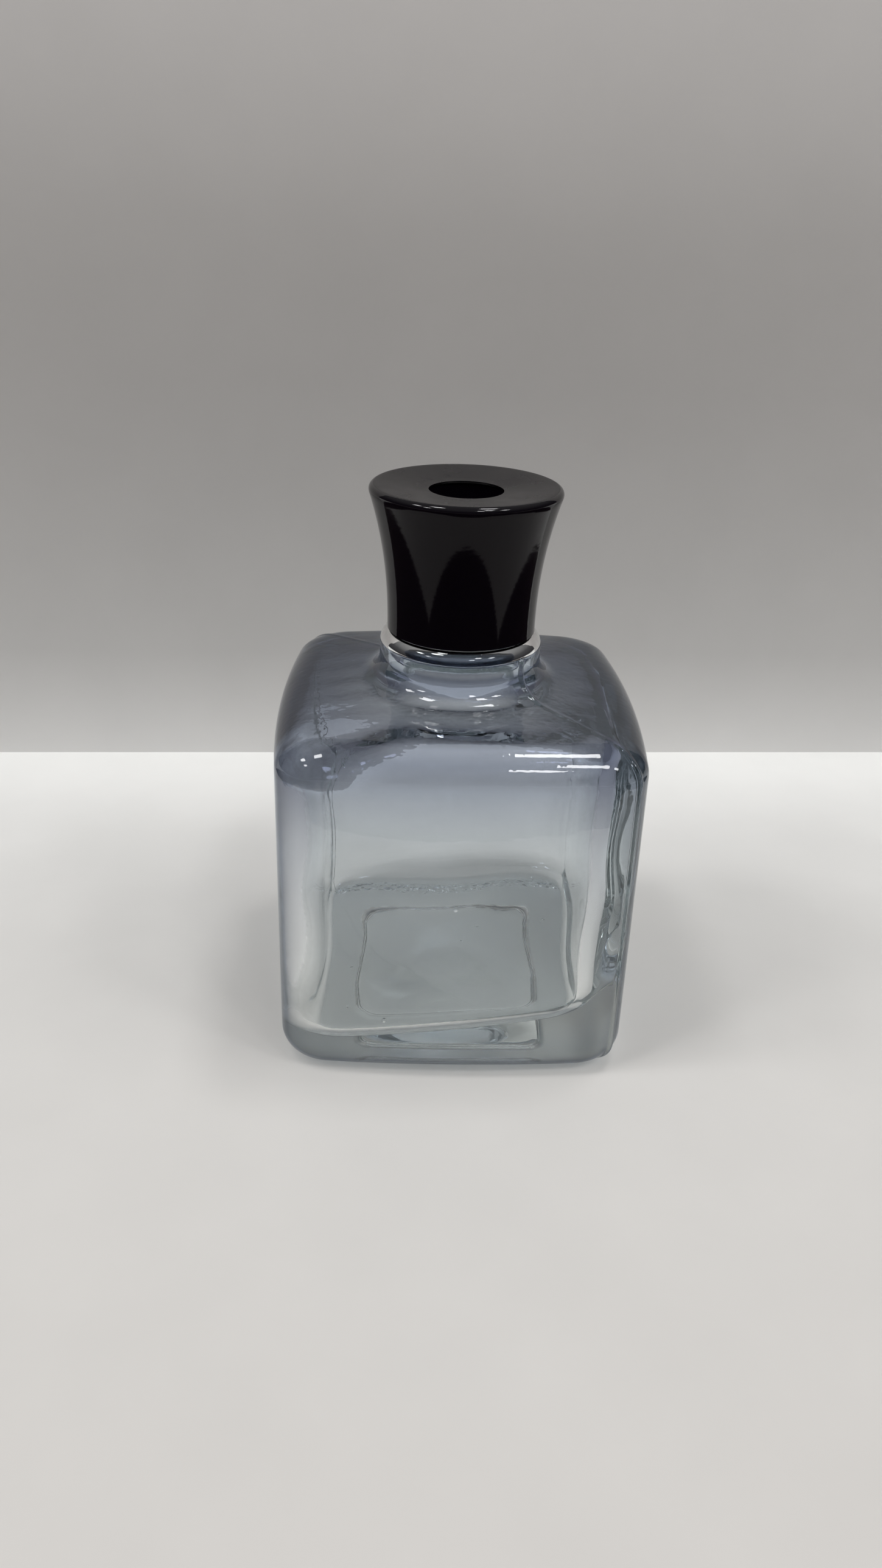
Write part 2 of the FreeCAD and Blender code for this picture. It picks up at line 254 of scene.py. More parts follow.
# Tint of the film on the outside of the glass by height, from the base to the top of the neck ring: its
# darkening towards the shoulder is the film's own, and its light and dark bands from the shoulder up are
# painted reflections and painted shade on the dome and the ring
FILM_TINTS_AND_PAINTED_BANDS = (
    (0.18, (0.96, 0.98, 0.975)),
    (0.42, (0.81, 0.84, 0.87)),
    (0.62, (0.59, 0.63, 0.69)),
    (0.78, (0.24, 0.27, 0.36)),
    (0.83, (0.16, 0.185, 0.275)),
    (0.868, (0.28, 0.31, 0.42)),
    (0.878, (0.52, 0.56, 0.66)),
    (0.890, (0.52, 0.56, 0.66)),
    (0.902, (0.19, 0.22, 0.32)),
    (0.935, (0.19, 0.22, 0.32)),
    (0.950, (0.48, 0.52, 0.60)),
    (0.975, (0.40, 0.44, 0.52)),
    (1.0, (0.20, 0.23, 0.31)),
)

# Further darkening of the film by how far it is seen at a slant, partly the longer path through the film and
# partly painted shade for the dark edges of the glass, and the share of that slant by height
SLANT_FILM_AND_EDGE_SHADE = ((0.26, WHITE), (0.61, (0.09, 0.115, 0.165)))
SLANT_SHARES = ((0.80, WHITE), (0.87, (0.9, 0.9, 0.9)))

# Share of the light that a glass surface lets through to the floor: inside, at the bearing edge and above
SHADOW_TINTS = (
    (0.0, (0.90, 0.905, 0.905)),
    (0.01, (0.76, 0.77, 0.77)),
    (1.0, (0.29, 0.30, 0.31)),
)
SHADOW_FOOT_Z = -0.02 * BASE_EDGE_RADIUS

# What the thick glass does to the light that runs through it, and how often light may bend or bounce there
GLASS_INDEX = 1.52
GLASS_COLOUR = (0.60, 0.65, 0.65, 1.0)
GLASS_DENSITY = 20.0
GLASS_BOUNCES = 32

# Frosting of the bearing edge by height
BEARING_HEIGHT = 0.3 * MM
BEARING_FROST = ((0.5, (0.3, 0.3, 0.3)), (1.0, BLACK))

# Fine surface of the glass: grains a metre, depth and strength of its ripple, grip marks, peel and bubbles
RIPPLE_SCALE = 160.0
RIPPLE_DEPTH = 0.6 * MM
RIPPLE_STRENGTH = 0.035
STIPPLE_SCALE = 650.0
STIPPLE_DEPTH = 0.6 * MM
STIPPLE_HEIGHT = 0.6 * MM
STIPPLE_FADE = ((0.5, WHITE), (1.0, BLACK))
STIPPLE_REACH = 22.0 * MM
PEEL_SCALE = 750.0
PEEL_DEPTH = 0.2 * MM
PEEL_STRENGTH = 0.11
SEED_SCALE = 105.0
SEED_DEPTH = 0.2 * MM
SEED_STRENGTH = 0.5
SEED_EDGE = ((0.02, WHITE), (0.05, BLACK))

# Surface of the collar: fine bumps, and rub marks that make it rougher
COLLAR_COLOUR = (0.0022, 0.0012, 0.0030, 1.0)
COLLAR_GRAIN_SCALE = 1400.0
COLLAR_GRAIN_DEPTH = 0.1 * MM
COLLAR_GRAIN_STRENGTH = 0.04
RUB_SCALE = 120.0
RUB_RANGE = (0.35, 0.7)
RUB_FACTOR = 1.4

# Surface of the moulded pieces, with painted shade that darkens the hollows of its grain
GRAIN_SCALE = 900.0
GRAIN_DEPTH = 0.1 * MM
GRAIN_STRENGTH = 0.15
GRAIN_SHADE = 0.8
GRAIN_RANGE = (0.3, 0.7)


class Outline:
    """A square plan with bowed faces and round corners, as a radius at each angle about its centre.

    Each face's arc is centred the distance face behind the plan's centre, and ends at the angle first.
    """

    def __init__(self, half, crown, corner):
        self.crown = crown
        self.corner = corner
        self.face = crown - half
        reach = crown - corner
        half_gap = self.face / math.sqrt(2)
        self.corner_centre = (math.sqrt(reach ** 2 - half_gap ** 2) - half_gap) / math.sqrt(2)
        step = self.corner_centre + self.face
        scale = crown / math.hypot(step, self.corner_centre)
        self.first = math.atan2(self.corner_centre * scale, step * scale - self.face)

    def radius(self, angle):
        along_x = abs(math.cos(angle))
        along_y = abs(math.sin(angle))
        folded = math.atan2(along_y, along_x)
        if folded < self.first:
            centre, size = (-self.face, 0.0), self.crown
        elif folded > math.pi / 2 - self.first:
            centre, size = (0.0, -self.face), self.crown
        else:
            centre, size = (self.corner_centre, self.corner_centre), self.corner
        reach = along_x * centre[0] + along_y * centre[1]
        return reach + math.sqrt(reach ** 2 - centre[0] ** 2 - centre[1] ** 2 + size ** 2)


def ring_angles(outline):
    """Angles round the bottle, closer together on the corners."""
    angles = []
    span = math.pi / 2 - 2 * outline.first
    for quarter in range(4):
        middle = quarter * math.pi / 2
        for i in range(FACE_STEPS):
            angles.append(middle - outline.first + 2 * outline.first * i / FACE_STEPS)
        for i in range(CORNER_STEPS):
            angles.append(middle + outline.first + span * i / CORNER_STEPS)
    return np.array(angles)


def shoulder_profile(z, edge_radius, run, root_radius):
    """Inset and height from the wall, round the edge, up the slope and into the root of the neck."""
    slope = SHOULDER_SLOPE
    steps = SHOULDER_ROUND_STEPS
    points = []
    for i in range(steps + 1):
        turn = (math.pi / 2 - slope) * i / steps
        points.append((edge_radius * (1 - math.cos(turn)), z + edge_radius * math.sin(turn)))
    edge_inset, edge_z = points[-1]
    root_inset = run - root_radius
    root_start = root_inset + root_radius * math.sin(slope)
    root_z = edge_z + math.tan(slope) * (root_start - edge_inset) + root_radius * math.cos(slope)
    for i in range(1, SLOPE_STEPS):
        inset = edge_inset + (root_start - edge_inset) * i / SLOPE_STEPS
        points.append((inset, edge_z + math.tan(slope) * (inset - edge_inset)))
    for i in range(steps + 1):
        turn = (slope - math.pi / 2) * (1 - i / steps)
        points.append((root_inset + root_radius * math.cos(turn), root_z + root_radius * math.sin(turn)))
    return points


def cavity_wall_top():
    """Height where the cavity's upright wall ends, set by the thickness of the shoulder above it."""
    outer_inset = SHOULDER_RADIUS * (1 - math.sin(SHOULDER_SLOPE))
    outer_z = SHOULDER_Z + SHOULDER_RADIUS * math.cos(SHOULDER_SLOPE)
    inner_inset = SIDE_WALL + CAVITY_SHOULDER_RADIUS * (1 - math.sin(SHOULDER_SLOPE))
    slope_z = outer_z + math.tan(SHOULDER_SLOPE) * (inner_inset - outer_inset)
    edge_z = slope_z - SHOULDER_WALL / math.cos(SHOULDER_SLOPE)
    return edge_z - CAVITY_SHOULDER_RADIUS * math.cos(SHOULDER_SLOPE)


def quarter_round(steps):
    """Shares of a quarter circle, from lying flat to standing upright."""
    turns = [math.pi / 2 * i / steps for i in range(steps + 1)]
    return [(1 - math.sin(turn), 1 - math.cos(turn)) for turn in turns]


def smooth_mesh(name, points, faces):
    mesh = bpy.data.meshes.new(name)
    mesh.from_pydata([tuple(point) for point in points], [], faces)
    mesh.polygons.foreach_set("use_smooth", [True] * len(faces))
    mesh.update()
    return mesh


class GlassRings:
    """Closed rings of the bottle, gathered from under the base, over the lip and down to the inner floor."""

    def __init__(self):
        outer = Outline(HALF_WIDTH, FACE_CROWN_RADIUS, CORNER_RADIUS)
        inner = Outline(HALF_WIDTH - SIDE_WALL, FACE_CROWN_RADIUS, CAVITY_CORNER_RADIUS)
        panel = Outline(PANEL_HALF, PANEL_CROWN_RADIUS, PANEL_CORNER_RADIUS)
        self.angles = ring_angles(outer)
        self.cos = np.cos(self.angles)
        self.sin = np.sin(self.angles)
        self.outer_radius = np.array([outer.radius(angle) for angle in self.angles])
        self.inner_radius = np.array([inner.radius(angle) for angle in self.angles])
        self.panel_radius = np.array([panel.radius(angle) for angle in self.angles])
        self.rings = []

    def circle(self, radius):
        return np.full_like(self.angles, radius)

    def add(self, radius, z, shift=0.0):
        x = radius * self.cos + shift
        y = radius * self.sin
        self.rings.append(np.column_stack([x, y, np.broadcast_to(z, x.shape)]))

    def seam(self, radius):
        """The mould seam's height at each angle of a ring."""
        height = np.zeros_like(self.angles)
        for seam_angle in SEAM_ANGLES:
            away = np.angle(np.exp(1j * (self.angles - seam_angle)))
            height += SEAM_HEIGHT * np.exp(-(radius * away / SEAM_WIDTH) ** 2)
        return height

    def add_outside(self, radius, z):
        self.add(radius + self.seam(radius), z)

    def underside(self):
        for share in PANEL_SHARES:
            self.add(self.panel_radius * share, PANEL_DEPTH)
        rounding = quarter_round(SMALL_ROUND_STEPS)
        for inset, rise in reversed(rounding):
            self.add(self.panel_radius - PANEL_STEP * rise, PANEL_DEPTH * (1 - inset / 2))
        for inset, rise in rounding:
            self.add(self.panel_radius + PANEL_STEP * (1 - inset), PANEL_DEPTH / 2 * (1 - rise))
        inner_edge = self.panel_radius + PANEL_STEP
        outer_edge = self.outer_radius - BASE_EDGE_RADIUS
        for i in range(1, BEARING_RINGS + 1):
            self.add(inner_edge + (outer_edge - inner_edge) * i / (BEARING_RINGS + 1), 0.0)

    def outside(self):
        for inset, rise in quarter_round(BASE_ROUND_STEPS):
            self.add_outside(self.outer_radius - BASE_EDGE_RADIUS * inset, BASE_EDGE_RADIUS * rise)
        wall = SHOULDER_Z - BASE_EDGE_RADIUS
        for i in range(1, WALL_STEPS):
            self.add_outside(self.outer_radius, BASE_EDGE_RADIUS + wall * i / WALL_STEPS)
        run = HALF_WIDTH - RING_RADIUS
        for inset, z in shoulder_profile(SHOULDER_Z, SHOULDER_RADIUS, run, RING_ROOT_RADIUS):
            blend = inset / run
            self.add_outside(self.outer_radius * (1 - blend) + RING_RADIUS * blend, z)
        ring = self.circle(RING_RADIUS)
        self.add_outside(ring, RING_TOP_Z - RING_EDGE_RADIUS)
        for inset, rise in reversed(quarter_round(RING_ROUND_STEPS)[:-1]):
            self.add(ring - RING_EDGE_RADIUS * rise, RING_TOP_Z - RING_EDGE_RADIUS * inset)

    def thread(self, z):
        """The thread's height above the neck at each angle of a ring at height z."""
        flank = (THREAD_BASE_WIDTH - THREAD_CREST_WIDTH) / 2
        height = np.zeros_like(self.angles)
        turned = np.mod(self.angles, 2 * math.pi) / (2 * math.pi)
        for lap in range(math.ceil(THREAD_TURNS) + 1):
            turns = turned + lap
            away = np.abs(z - THREAD_START_Z - THREAD_PITCH * turns)
            rise = np.clip((THREAD_BASE_WIDTH / 2 - away) / flank, 0, 1)
            height = np.maximum(height, np.where(turns <= THREAD_TURNS, rise, 0))
        return THREAD_HEIGHT * height

    def neck(self):
        finish = self.circle(FINISH_RADIUS)
        self.add(finish + FINISH_APRON, RING_TOP_Z)
        self.add(finish + FINISH_ROOT, RING_TOP_Z)
        foot = RING_TOP_Z + FINISH_ROOT
        top = LIP_Z - LIP_ROUND
        for i in range(NECK_STEPS + 1):
            z = foot + (top - foot) * i / NECK_STEPS
            self.add(finish + self.thread(z), z)
        rounding = quarter_round(SMALL_ROUND_STEPS)
        for inset, rise in reversed(rounding[:-1]):
            self.add(finish - LIP_ROUND * rise, LIP_Z - LIP_ROUND * inset)
        bore = self.circle(NECK_BORE_RADIUS)
        for inset, rise in rounding:
            self.add(bore + BORE_ROUND * inset, LIP_Z - BORE_ROUND * rise)

    def wall_wave(self, z):
        """How far the blown inner wall wanders from its plan at each angle."""
        turn = 2 * math.pi * z
        once, twice = WALL_WAVE_SWINGS
        swing = once * np.sin(self.angles) + twice * np.cos(2 * self.angles)
        wave = np.sin(turn / WALL_WAVE_LENGTH + swing)
        slow = np.sin(turn / WALL_SLOW_LENGTH + WALL_SLOW_LOBES * self.angles + WALL_SLOW_PHASE)
        corner = np.abs(np.sin(2 * self.angles)) ** WALL_CORNER_POWER
        share = WALL_FACE_SHARE + (1 - WALL_FACE_SHARE) * corner
        return WALL_WAVE * (share * wave + WALL_SLOW_SHARE * slow)

    def dome_wave(self, radius):
        """How far the blown underside of the shoulder wanders from its slope."""
        x = radius * self.cos
        y = radius * self.sin
        bend = DOME_BEND * np.sin(x / DOME_BEND_RADIAN)
        fade = np.cos(x / DOME_FADE_RADIAN + DOME_FADE_PHASE)
        return -DOME_WAVE * np.sin(y / DOME_WAVE_RADIAN + bend) * fade

    def shoulder_wander(self):
        """How far the cavity's shoulder sags at the front left and rises along the front."""
        x = self.inner_radius * self.cos
        front = np.clip(-self.inner_radius * self.sin / (HALF_WIDTH - SIDE_WALL), 0, 1) ** 2
        return SHOULDER_WANDER * np.tanh((x - SHOULDER_WANDER_X) / SHOULDER_WANDER_RUN) * front

    def floor_height(self, radius, base):
        """Height of the tilted and wavy floor over each point of a ring, from its height at the middle."""
        x = radius * self.cos + CAVITY_SHIFT
        y = radius * self.sin
        across = np.sin(x / FLOOR_WAVE_RADIANS[0] + FLOOR_WAVE_PHASES[0])
        along = np.cos(y / FLOOR_WAVE_RADIANS[1] + FLOOR_WAVE_PHASES[1])
        back = np.clip((y - FLOOR_RISE_START) / (HALF_WIDTH - FLOOR_RISE_START), 0, 1) ** 2
        return base + x * math.tan(FLOOR_TILT) + FLOOR_WAVE * across * along + FLOOR_RISE * back

    def inner_neck(self):
        bore = self.circle(NECK_BORE_RADIUS)
        for i in range(1, BORE_STEPS):
            self.add(bore, LIP_Z + (BORE_FOOT_Z - LIP_Z) * i / BORE_STEPS)
        for i in range(FUNNEL_STEPS + 1):
            share = (1 - math.cos(math.pi * i / FUNNEL_STEPS)) / 2
            z = BORE_FOOT_Z + (NECK_INNER_TOP_Z - BORE_FOOT_Z) * i / FUNNEL_STEPS
            self.add(bore + (NECK_INNER_RADIUS - NECK_BORE_RADIUS) * share, z)

    def inner_shoulder(self):
        run = HALF_WIDTH - SIDE_WALL - NECK_INNER_RADIUS
        profile = shoulder_profile(cavity_wall_top(), CAVITY_SHOULDER_RADIUS, run, THROAT_RADIUS)
        for inset, z in reversed(profile):
            blend = inset / run
            outer = 1 - blend
            radius = self.inner_radius * outer + NECK_INNER_RADIUS * blend
            lift = self.dome_wave(radius) * outer + self.shoulder_wander() * outer ** 2
            self.add(radius + self.wall_wave(z) * outer ** 2, z + lift, CAVITY_SHIFT * outer)

    def inner_wall_and_floor(self):
        head = cavity_wall_top() + self.shoulder_wander()
        foot = self.floor_height(self.inner_radius, FLOOR_THICKNESS + FLOOR_EDGE_RADIUS)
        for i in range(1, CAVITY_WALL_STEPS):
            z = head + (foot - head) * i / CAVITY_WALL_STEPS
            self.add(self.inner_radius + self.wall_wave(z), z, CAVITY_SHIFT)
        for inset, rise in reversed(quarter_round(FLOOR_ROUND_STEPS)):
            radius = self.inner_radius - FLOOR_EDGE_RADIUS * inset
            z = self.floor_height(radius, FLOOR_THICKNESS + FLOOR_EDGE_RADIUS * rise)
            self.add(radius + self.wall_wave(foot) * rise, z, CAVITY_SHIFT)
        edge = self.inner_radius - FLOOR_EDGE_RADIUS
        for i in range(1, FLOOR_STEPS):
            share = 1 - i / FLOOR_STEPS
            crowned = FLOOR_THICKNESS + FLOOR_CROWN * (1 - share ** 2) ** 2
            self.add(edge * share, self.floor_height(edge * share, crowned), CAVITY_SHIFT)

    def mesh(self, name):
        """The closed mesh, whose attribute coat is 1 on the rings that carry the film, with its painted
        bands and painted edge shade, and 0 elsewhere.
        """
        self.underside()
        self.outside()
        coated = len(self.rings)
        self.neck()
        self.inner_neck()
        self.inner_shoulder()
        self.inner_wall_and_floor()
        count = len(self.angles)
        last = (len(self.rings) - 1) * count
        bottom = last + count
        top = bottom + 1
        ends = [self.rings[0].mean(axis=0), self.rings[-1].mean(axis=0)]
        points = np.concatenate([*self.rings, ends])
        faces = []
        for here in range(0, last, count):
            there = here + count
            for i in range(count):
                j = (i + 1) % count
                faces.append((here + i, here + j, there + j, there + i))
        for i in range(count):
            j = (i + 1) % count
            faces.append((bottom, j, i))
            faces.append((top, last + i, last + j))
        mesh = smooth_mesh(name, points, faces)
        coat = mesh.attributes.new("coat", "FLOAT", "POINT")
        coat.data.foreach_set("value", (np.arange(len(points)) < coated * count).astype(np.float32))
        return mesh


def lathe(name, profile, segments):
    """A closed turned mesh from a list of radius and height, whose last point joins the first."""
    count = len(profile)
    points = []
    faces = []
    for k in range(segments):
        turn = 2 * math.pi * k / segments
        points += [(radius * math.cos(turn), radius * math.sin(turn), z) for radius, z in profile]
        here = k * count
        there = (k + 1) % segments * count
        for i in range(count):
            j = (i + 1) % count
            faces.append((here + i, there + i, there + j, here + j))
    return smooth_mesh(name, points, faces)


def collar_profile():
    """Radius and height round the collar's section, up the flare, over the rim and down inside."""
    foot_z, top_z = collar_low.z, collar_high.z
    height = top_z - foot_z
    lean = math.atan(RIM_FLARE * FLARE_POWER / height)
    reach = RIM_ROUND / math.tan((math.pi / 2 - lean) / 2)
    rim_x = COLLAR_FOOT_RADIUS + RIM_FLARE - reach
    flare_top = 1 - reach * math.cos(lean) / height
    points = []
    for i in range(FLARE_STEPS + 1):
        share = flare_top * i / FLARE_STEPS
        points.append((COLLAR_FOOT_RADIUS + RIM_FLARE * share ** FLARE_POWER, foot_z + height * share))
    for i in range(1, RIM_STEPS + 1):
        turn = -lean + (math.pi / 2 + lean) * i / RIM_STEPS
        points.append((rim_x + RIM_ROUND * math.cos(turn), RIM_Z + RIM_ROUND * math.sin(turn)))
    dish_end = MOUTH_RADIUS + MOUTH_ROUND
    mouth_z = top_z - DISH_DEPTH
    for i in range(1, DISH_STEPS):
        share = i / DISH_STEPS
        points.append((rim_x + (dish_end - rim_x) * share, top_z - DISH_DEPTH * share))
    for inset, rise in reversed(quarter_round(MOUTH_STEPS)):
        points.append((dish_end - MOUTH_ROUND * (1 - inset), mouth_z - MOUTH_ROUND * (1 - rise)))
    points.append((MOUTH_RADIUS, SOCKET_TOP_Z))
    points.append((SOCKET_RADIUS, SOCKET_TOP_Z))
    points.append((SOCKET_RADIUS, foot_z))
    return points


def add_object(name, data):
    thing = bpy.data.objects.new(name, data)
    bpy.context.scene.collection.objects.link(thing)
    return thing


def add_piece(name, mesh, *materials):
    for material in materials:
        mesh.materials.append(material)
    return add_object(name, mesh)


class Shading:
    """The nodes of a material or a world, with short ways to add those that are used here."""

    def __init__(self, owner):
        owner.use_nodes = True
        self.owner = owner
        self.nodes = owner.node_tree.nodes
        self.links = owner.node_tree.links

    def fill(self, made, inputs):
        """Sets a node's inputs, or links those whose value is an output of another node."""
        for key, value in inputs.items():
            if isinstance(value, bpy.types.NodeSocket):
                self.links.new(value, made.inputs[key])
            else:
                made.inputs[key].default_value = value
        return made

    def node(self, kind, inputs=None, **properties):
        made = self.nodes.new("ShaderNode" + kind)
        for key, value in properties.items():
            setattr(made, key, value)
        return self.fill(made, inputs or {})

    def ramp(self, source, stops):
        """Colour that follows a value through stops of place and colour."""
        made = self.node("ValToRGB", {"Fac": source})
        elements = made.color_ramp.elements
        while len(elements) < len(stops):
            elements.new(0.5)
        for element, (place, colour) in zip(elements, stops):
            element.position = place
            element.color = (*colour, 1.0)
        return made.outputs["Color"]

    def place(self, kind="Object"):
        return self.node("TexCoord").outputs[kind]

    def along(self, axis, kind="Object"):
        return self.node("SeparateXYZ", {0: self.place(kind)}).outputs[axis]

    def share(self, axis, low, high):
        """A value that goes from 0 at the low place to 1 at the high one, along an axis of the object."""
        span = {"Value": self.along(axis), "From Min": low, "From Max": high}
        return self.node("MapRange", span).outputs["Result"]

    def maths(self, operation, *values):
        return self.node("Math", dict(enumerate(values)), operation=operation).outputs[0]

    def noise(self, scale, detail):
        grain = {"Vector": self.place(), "Scale": scale, "Detail": detail}
        return self.node("TexNoise", grain).outputs["Fac"]

    def bump(self, height, depth, strength, **below):
        """Normal of a bumpy surface, laid over the normal of the one below it where that is given."""
        relief = {"Height": height, "Distance": depth, "Strength": strength}
        return self.node("Bump", relief | below).outputs["Normal"]

    def see_through(self, shader, share, tint=(*WHITE, 1.0)):
        """Lets light pass straight on, in a tint, where the share is 1."""
        clear = self.node("BsdfTransparent", {"Color": tint})
        mix = self.node("MixShader", {"Fac": share, 1: shader.outputs[0], 2: clear.outputs[0]})
        self.fill(self.nodes["Material Output"], {"Surface": mix.outputs[0]})


def new_material(name):
    paint = Shading(bpy.data.materials.new(name))
    return paint, paint.nodes["Principled BSDF"]


def glass_normal(paint):
    """Normal of the glass: a ripple, grip marks along the foot, the shoulder's peel and small bubbles."""
    normal = paint.bump(paint.noise(RIPPLE_SCALE, detail=3.0), RIPPLE_DEPTH, RIPPLE_STRENGTH)

    foot = paint.ramp(paint.share("Z", 0.0, STIPPLE_HEIGHT), STIPPLE_FADE)
    ends = paint.maths("GREATER_THAN", paint.maths("ABSOLUTE", paint.along("Y")), STIPPLE_REACH)
    grip = paint.maths("MULTIPLY", foot, ends)
    normal = paint.bump(paint.noise(STIPPLE_SCALE, detail=1.0), STIPPLE_DEPTH, grip, Normal=normal)

    shoulder = paint.share("Z", SHOULDER_Z - SHOULDER_RADIUS, SHOULDER_Z)
    peel = paint.maths("MULTIPLY", shoulder, PEEL_STRENGTH)
    normal = paint.bump(paint.noise(PEEL_SCALE, detail=1.0), PEEL_DEPTH, peel, Normal=normal)

    cells = paint.node("TexVoronoi", {"Vector": paint.place(), "Scale": SEED_SCALE})
    seeds = paint.ramp(cells.outputs["Distance"], SEED_EDGE)
    return paint.bump(seeds, SEED_DEPTH, SEED_STRENGTH, Normal=normal)


def glass_material(name):
    """Glass under a blue-grey film, deep at the shoulder and fading downwards, with painted light and dark
    bands on the dome and ring, and painted shade that darkens it at a slant.
    """
    paint, shader = new_material(name)
    coat = paint.node("Attribute", attribute_name="coat").outputs["Fac"]
    height = paint.share("Z", 0.0, RING_TOP_Z)
    facing = paint.node("LayerWeight", {"Blend": 0.5}).outputs["Facing"]
    slant = paint.maths("MULTIPLY", facing, paint.ramp(height, SLANT_SHARES))
    # The film's ramp carries painted light and dark bands on the dome and the ring.
    film_and_bands = paint.ramp(paint.maths("MULTIPLY", height, coat), FILM_TINTS_AND_PAINTED_BANDS)
    # Painted edge shade: the film darkens further where the glass is seen at a slant.
    edge = paint.ramp(paint.maths("MULTIPLY", slant, coat), SLANT_FILM_AND_EDGE_SHADE)
    tint = paint.node("VectorMath", {0: film_and_bands, 1: edge}, operation="MULTIPLY")
    paint.fill(shader, {
        "Base Color": tint.outputs["Vector"],
        "Roughness": paint.ramp(paint.share("Z", 0.0, BEARING_HEIGHT), BEARING_FROST),
        "IOR": GLASS_INDEX,
        "Transmission Weight": 1.0,
        "Normal": glass_normal(paint),
    })

    foot = paint.share("Z", SHADOW_FOOT_Z, BASE_EDGE_RADIUS)
    shade = paint.ramp(paint.maths("MULTIPLY", foot, coat), SHADOW_TINTS)
    paint.see_through(shader, paint.node("LightPath").outputs["Is Shadow Ray"], shade)
    body = paint.node("VolumeAbsorption", {"Color": GLASS_COLOUR, "Density": GLASS_DENSITY})
    paint.fill(paint.nodes["Material Output"], {"Volume": body.outputs["Volume"]})
    return paint.owner


def collar_material(name, index, roughness):
    """Black plastic with fine bumps and rub marks."""
    paint, shader = new_material(name)
    rub = paint.node("MapRange", {
        "Value": paint.noise(RUB_SCALE, detail=5.0),
        "From Min": RUB_RANGE[0],
        "From Max": RUB_RANGE[1],
        "To Min": roughness,
        "To Max": roughness * RUB_FACTOR,
    })
    fine = paint.noise(COLLAR_GRAIN_SCALE, detail=3.0)
    paint.fill(shader, {
        "Base Color": COLLAR_COLOUR,
        "Roughness": rub.outputs["Result"],
        "IOR": index,
        "Normal": paint.bump(fine, COLLAR_GRAIN_DEPTH, COLLAR_GRAIN_STRENGTH),
    })
    return paint.owner


def moulded_material(name, colour, roughness):
    """Plain moulded plastic or foam with a fine uneven skin."""
    paint, shader = new_material(name)
    grain = paint.noise(GRAIN_SCALE, detail=4.0)
    # Painted shade: the grain's hollows are darker than the plastic's own colour.
    painted_hollow_shade = [GRAIN_SHADE * part for part in colour]
    paint.fill(shader, {
        "Base Color": paint.ramp(grain, list(zip(GRAIN_RANGE, (painted_hollow_shade, colour)))),
        "Roughness": roughness,
        "Normal": paint.bump(grain, GRAIN_DEPTH, GRAIN_STRENGTH),
    })
    return paint.owner


def paper_material(name, axis, low, high, painted_light_tones):
    """Matt paper with a faint mottle and painted light: its tone changes along one axis from the low to the
    high place.
    """
    paint, shader = new_material(name)
    mottle = paint.node("MapRange", {
        "Value": paint.noise(MOTTLE_SCALE, detail=6.0),
        "To Min": MOTTLE_RANGE[0],
        "To Max": MOTTLE_RANGE[1],
    })
    # Painted light: the paper's tone follows its place along the axis.
    tone = paint.ramp(paint.share(axis, low, high), painted_light_tones)
    mottled = paint.node("VectorMath", {0: tone, "Scale": mottle.outputs["Result"]}, operation="SCALE")
    paint.fill(shader, {
        "Base Color": mottled.outputs["Vector"],
        "Roughness": PAPER_ROUGHNESS,
        "Specular IOR Level": PAPER_SPECULAR,
    })
    return paint, shader


def backdrop_material():
    """Grey paper with painted light near its foot, which shows only from the front, so that it hides nothing
    from behind.
    """
    paint, shader = paper_material("paper_backdrop", "Z", 0.0, BACKDROP_HEIGHT, BACKDROP_PAINTED_LIGHT_TONES)
    paint.see_through(shader, paint.node("NewGeometry").outputs["Backfacing"])
    return paint.owner


def flag_material():
    """Dark brown board, seen only in the polished collar."""
    paint, shader = new_material("flag_board")
    paint.fill(shader, {"Base Color": FLAG_COLOUR, "Roughness": FLAG_ROUGHNESS})
    return paint.owner


def strip(name, lines, material):
    """A stage surface between neighbouring lines of points."""
    points = [point for line in lines for point in line]
    count = len(lines[0])
    faces = []
    for k in range(len(lines) - 1):
        for i in range(count - 1):
            here = k * count + i
            faces.append((here, here + 1, here + count + 1, here + count))
    thing = add_piece(name, smooth_mesh(name, points, faces), material)
    return thing


def rectangle(name, low_x, high_x, low_y, high_y, z, material):
    lines = [[(low_x, y, z), (high_x, y, z)] for y in (low_y, high_y)]
    return strip(name, lines, material)


def build_bottle():
    mesh = GlassRings().mesh("glass_body")
    glass = add_piece("glass_body", mesh, glass_material("tinted_glass"))
    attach(glass, "bottle")
    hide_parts("glass_bottle")


def build_collar():
    """The turned collar, polished on its flare, satin on its flat top and bright on the rim."""
    polished = collar_material("collar_black", index=1.26, roughness=0.05)
    satin = collar_material("collar_satin", index=1.35, roughness=0.22)
    bright = collar_material("collar_rim", index=1.5, roughness=0.06)
    mesh = lathe("collar_flare", collar_profile(), COLLAR_SEGMENTS)
    mesh.set_sharp_from_angle(angle=SHARP_ANGLE)
    finishes = (polished, satin, bright)
    collar = add_piece("collar_flare", mesh, *finishes)
    for face in mesh.polygons:
        if face.normal.z > FLAT_TOP:
            face.material_index = finishes.index(satin)
        elif face.center.z > RIM_Z and face.normal.z > 0:
            face.material_index = finishes.index(bright)
    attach(collar, "collar")
    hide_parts("collar_shell")


def finish_hidden_pieces():
    finishes = {
        "pour_insert": moulded_material("insert_plastic", colour=(0.80, 0.80, 0.78), roughness=0.45),
        "sealing_ring": moulded_material("seal_foam", colour=(0.78, 0.78, 0.75), roughness=0.7),
        "threaded_liner": moulded_material("liner_plastic", colour=(0.04, 0.04, 0.043), roughness=0.4),
    }
    for name, material in finishes.items():
        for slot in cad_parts[name].material_slots:
            slot.material = material


